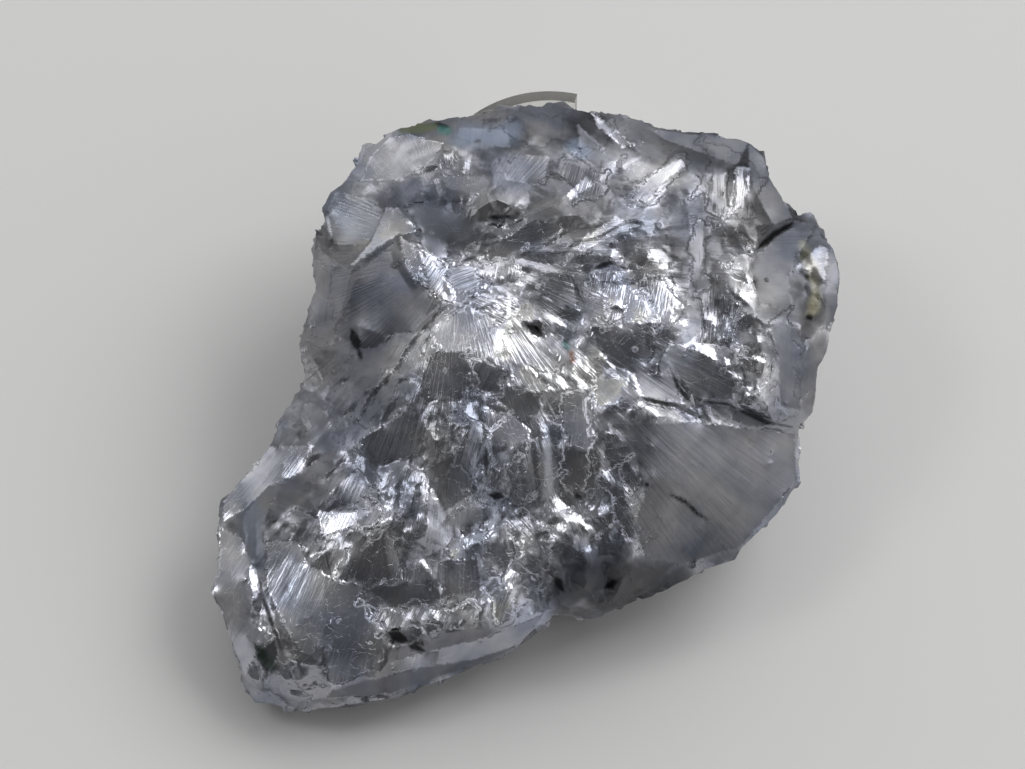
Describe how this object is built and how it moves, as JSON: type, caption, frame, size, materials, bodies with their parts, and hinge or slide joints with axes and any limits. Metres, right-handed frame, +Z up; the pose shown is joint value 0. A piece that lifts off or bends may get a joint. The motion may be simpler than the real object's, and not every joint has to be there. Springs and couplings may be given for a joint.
{
  "type": "mineral specimen",
  "caption": "Broken lump of metallic grey galena with curved and ridged fracture faces, propped on a short clear notched ring stand.",
  "frame": {"origin": "middle of the footprint, on the table", "axes": "+Z up, -Y towards the side that the stone's broad face looks out over, +X to its right"},
  "size_m": [0.0628, 0.0678, 0.0259],
  "materials": {
    "galena": "blue-grey metallic lustre, bright on fresh faces and dull in the hollows",
    "clear_plastic": "clear moulded plastic, very slightly cream"
  },
  "bodies": {
    "root": {"galena": "galena", "ring_stand": "clear_plastic"}
  },
  "joints": []
}
